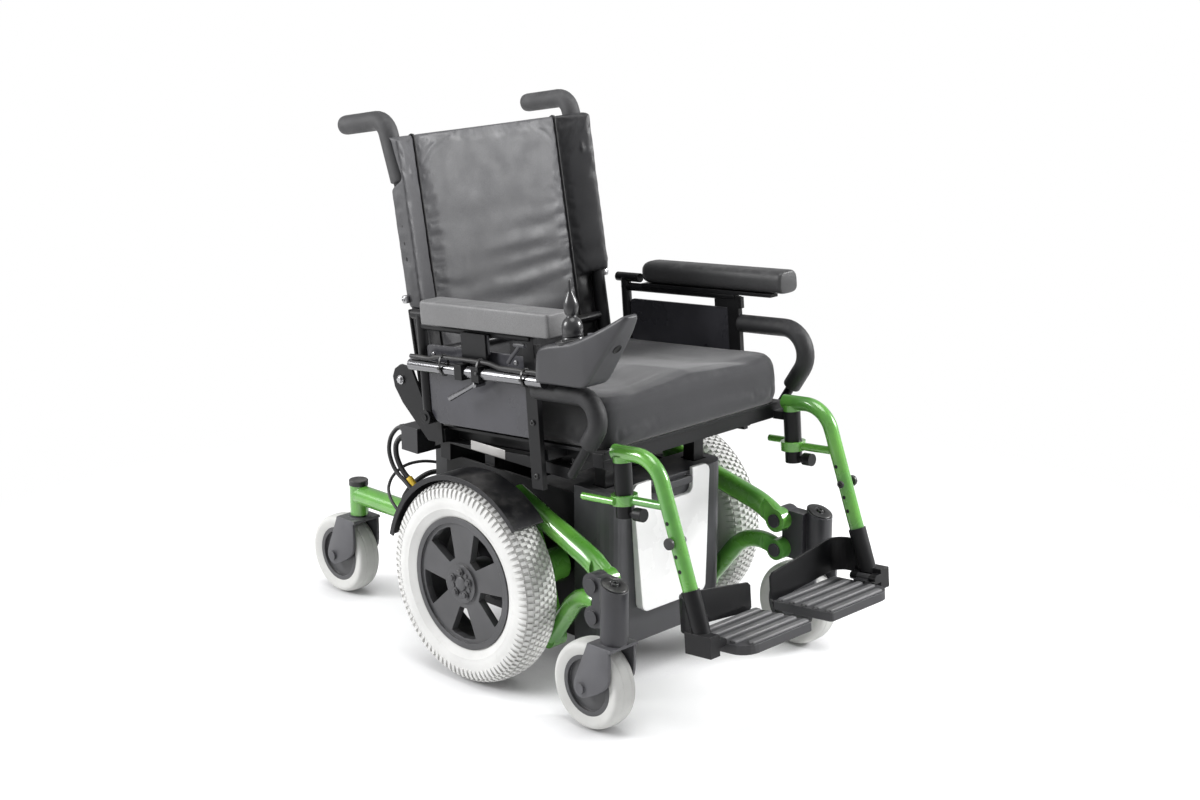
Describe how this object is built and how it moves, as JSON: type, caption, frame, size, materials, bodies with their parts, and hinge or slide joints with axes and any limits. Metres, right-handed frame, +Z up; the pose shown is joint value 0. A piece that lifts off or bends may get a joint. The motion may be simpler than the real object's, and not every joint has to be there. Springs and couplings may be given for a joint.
{
  "type": "power wheelchair",
  "caption": "Centre-wheel-drive power wheelchair with green swing arms, sprung casters, flip-up armrests, swing-away legrests, reclining back and a joystick on the right armrest.",
  "frame": {"origin": "centre of the footprint on the floor", "axes": "+X to the sitter's left, +Y to the rear, so the chair faces -Y, +Z up"},
  "size_m": [0.5939, 1.1247, 0.9495],
  "materials": {
    "tyre": "pale grey moulded tread",
    "wheel_plastic": "satin moulded",
    "arm_green": "gloss green coat",
    "cast_grey": "satin dark grey coat",
    "frame_black": "satin black coat",
    "motor_grey": "satin dark coat",
    "shroud_grey": "fine grained",
    "panel_white": "gloss",
    "seat_cloth": "close woven",
    "back_vinyl": "soft coated sheet",
    "soft_black": "matt foam and rubber",
    "foot_plastic": "ribbed moulded",
    "bright_steel": "bright plated",
    "joystick_plastic": "fine grained"
  },
  "bodies": {
    "base": {"base_frame": "frame_black", "batteries": "shroud_grey", "front_shroud": "shroud_grey", "front_panel": "panel_white", "drive_motors": "motor_grey", "fenders": "shroud_grey", "control_module": "shroud_grey", "wiring_loom": "soft_black", "pivot_bushes": "soft_black", "seat_frame": "frame_black", "seat_cushion": "seat_cloth"},
    "drive_wheel_left": {"drive_rim_left": "wheel_plastic", "drive_tyre_left": "tyre"},
    "front_arm_left": {"front_upper_arm_left": "arm_green", "front_lower_arm_left": "arm_green", "front_housing_left": "cast_grey"},
    "front_swivel_left": {"front_fork_left": "cast_grey"},
    "front_caster_left": {"front_hub_left": "wheel_plastic", "front_tyre_left": "tyre"},
    "rear_link_left": {"rear_arm_left": "arm_green"},
    "rear_swivel_left": {"rear_fork_left": "cast_grey"},
    "rear_caster_left": {"rear_hub_left": "wheel_plastic", "rear_tyre_left": "tyre"},
    "armrest_left": {"armrest_frame_left": "frame_black", "armrest_pad_left": "soft_black", "side_panel_left": "seat_cloth", "arm_guard_left": "soft_black"},
    "legrest_left": {"hanger_left": "arm_green", "leg_tube_left": "frame_black", "heel_loop_left": "foot_plastic"},
    "foot_left": {"footplate_left": "foot_plastic"},
    "drive_wheel_right": {"drive_rim_right": "wheel_plastic", "drive_tyre_right": "tyre"},
    "front_arm_right": {"front_upper_arm_right": "arm_green", "front_lower_arm_right": "arm_green", "front_housing_right": "cast_grey"},
    "front_swivel_right": {"front_fork_right": "cast_grey"},
    "front_caster_right": {"front_hub_right": "wheel_plastic", "front_tyre_right": "tyre"},
    "rear_link_right": {"rear_arm_right": "arm_green"},
    "rear_swivel_right": {"rear_fork_right": "cast_grey"},
    "rear_caster_right": {"rear_hub_right": "wheel_plastic", "rear_tyre_right": "tyre"},
    "armrest_right": {"armrest_frame_right": "frame_black", "armrest_pad_right": "soft_black", "side_panel_right": "seat_cloth", "arm_guard_right": "soft_black"},
    "legrest_right": {"hanger_right": "arm_green", "leg_tube_right": "frame_black", "heel_loop_right": "foot_plastic"},
    "foot_right": {"footplate_right": "foot_plastic"},
    "backrest": {"back_canes": "frame_black", "push_grips": "soft_black", "back_upholstery": "back_vinyl"},
    "joystick_mount": {"joystick_tube": "bright_steel", "joystick_housing": "joystick_plastic", "joystick_lead": "soft_black"},
    "joystick_ring": {"joystick_gimbal": "bright_steel"},
    "joystick_lever": {"joystick_stick": "joystick_plastic"},
    "power_key": {"power_button": "joystick_plastic"}
  },
  "joints": [
    {"name": "drive_wheel_left", "type": "hinge", "parent": "base", "child": "drive_wheel_left", "pos_m": [0.259, -0.00965, 0.178], "axis": [1, 0, 0], "continuous": true},
    {"name": "front_arm_left", "type": "hinge", "parent": "base", "child": "front_arm_left", "pos_m": [0.17, -0.10465, 0.205], "axis": [1, 0, 0], "range_deg": [-5, 5], "stiffness_Nm_per_rad": 1500},
    {"name": "front_swivel_left", "type": "hinge", "parent": "front_arm_left", "child": "front_swivel_left", "pos_m": [0.259, -0.34464, 0.19], "axis": [0, 0, 1], "continuous": true},
    {"name": "front_caster_left", "type": "hinge", "parent": "front_swivel_left", "child": "front_caster_left", "pos_m": [0.259, -0.30064, 0.076], "axis": [1, 0, 0], "continuous": true},
    {"name": "rear_arm_left", "type": "hinge", "parent": "base", "child": "rear_link_left", "pos_m": [0.146, 0.25235, 0.202], "axis": [1, 0, 0], "range_deg": [-5, 5], "stiffness_Nm_per_rad": 1500},
    {"name": "rear_swivel_left", "type": "hinge", "parent": "rear_link_left", "child": "rear_swivel_left", "pos_m": [0.146, 0.44235, 0.19], "axis": [0, 0, 1], "continuous": true},
    {"name": "rear_caster_left", "type": "hinge", "parent": "rear_swivel_left", "child": "rear_caster_left", "pos_m": [0.146, 0.48635, 0.076], "axis": [1, 0, 0], "continuous": true},
    {"name": "armrest_left", "type": "hinge", "parent": "base", "child": "armrest_left", "pos_m": [0.25, 0.1096, 0.44259], "axis": [1, 0, 0], "range_deg": [-100, 0]},
    {"name": "legrest_swing_left", "type": "hinge", "parent": "base", "child": "legrest_left", "pos_m": [0.211, -0.31702, 0.41968], "axis": [0, 0.0872, 0.9962], "range_deg": [0, 99]},
    {"name": "footplate_left", "type": "hinge", "parent": "legrest_left", "child": "foot_left", "pos_m": [0.196, -0.49577, 0.18938], "axis": [0, 0.9962, -0.0872], "range_deg": [0, 88]},
    {"name": "drive_wheel_right", "type": "hinge", "parent": "base", "child": "drive_wheel_right", "pos_m": [-0.259, -0.00965, 0.178], "axis": [1, 0, 0], "continuous": true},
    {"name": "front_arm_right", "type": "hinge", "parent": "base", "child": "front_arm_right", "pos_m": [-0.17, -0.10465, 0.205], "axis": [1, 0, 0], "range_deg": [-5, 5], "stiffness_Nm_per_rad": 1500},
    {"name": "front_swivel_right", "type": "hinge", "parent": "front_arm_right", "child": "front_swivel_right", "pos_m": [-0.259, -0.34464, 0.19], "axis": [0, 0, 1], "continuous": true},
    {"name": "front_caster_right", "type": "hinge", "parent": "front_swivel_right", "child": "front_caster_right", "pos_m": [-0.259, -0.30064, 0.076], "axis": [1, 0, 0], "continuous": true},
    {"name": "rear_arm_right", "type": "hinge", "parent": "base", "child": "rear_link_right", "pos_m": [-0.146, 0.25235, 0.202], "axis": [1, 0, 0], "range_deg": [-5, 5], "stiffness_Nm_per_rad": 1500},
    {"name": "rear_swivel_right", "type": "hinge", "parent": "rear_link_right", "child": "rear_swivel_right", "pos_m": [-0.146, 0.44235, 0.19], "axis": [0, 0, 1], "continuous": true},
    {"name": "rear_caster_right", "type": "hinge", "parent": "rear_swivel_right", "child": "rear_caster_right", "pos_m": [-0.146, 0.48635, 0.076], "axis": [1, 0, 0], "continuous": true},
    {"name": "armrest_right", "type": "hinge", "parent": "base", "child": "armrest_right", "pos_m": [-0.25, 0.1096, 0.44259], "axis": [1, 0, 0], "range_deg": [-100, 0]},
    {"name": "legrest_swing_right", "type": "hinge", "parent": "base", "child": "legrest_right", "pos_m": [-0.211, -0.31702, 0.41968], "axis": [0, 0.0872, 0.9962], "range_deg": [-99, 0]},
    {"name": "footplate_right", "type": "hinge", "parent": "legrest_right", "child": "foot_right", "pos_m": [-0.196, -0.49577, 0.18938], "axis": [0, 0.9962, -0.0872], "range_deg": [-88, 0]},
    {"name": "back_recline", "type": "hinge", "parent": "base", "child": "backrest", "pos_m": [0, 0.13281, 0.43252], "axis": [1, 0, 0], "range_deg": [-15, 5]},
    {"name": "joystick_reach", "type": "slide", "parent": "armrest_right", "child": "joystick_mount", "axis": [0, -0.9962, 0.0872], "range_m": [0, 0.03]},
    {"name": "joystick_pitch", "type": "hinge", "parent": "joystick_mount", "child": "joystick_ring", "pos_m": [-0.268, -0.26298, 0.63579], "axis": [1, 0, 0], "range_deg": [-18, 18], "stiffness_Nm_per_rad": 0.2},
    {"name": "joystick_roll", "type": "hinge", "parent": "joystick_ring", "child": "joystick_lever", "pos_m": [-0.268, -0.26298, 0.63579], "axis": [0, 0.9962, -0.0872], "range_deg": [-18, 18], "stiffness_Nm_per_rad": 0.2},
    {"name": "power_press", "type": "slide", "parent": "joystick_mount", "child": "power_key", "axis": [0, -0.0872, -0.9962], "range_m": [0, 0.0015], "stiffness_N_per_m": 300}
  ]
}
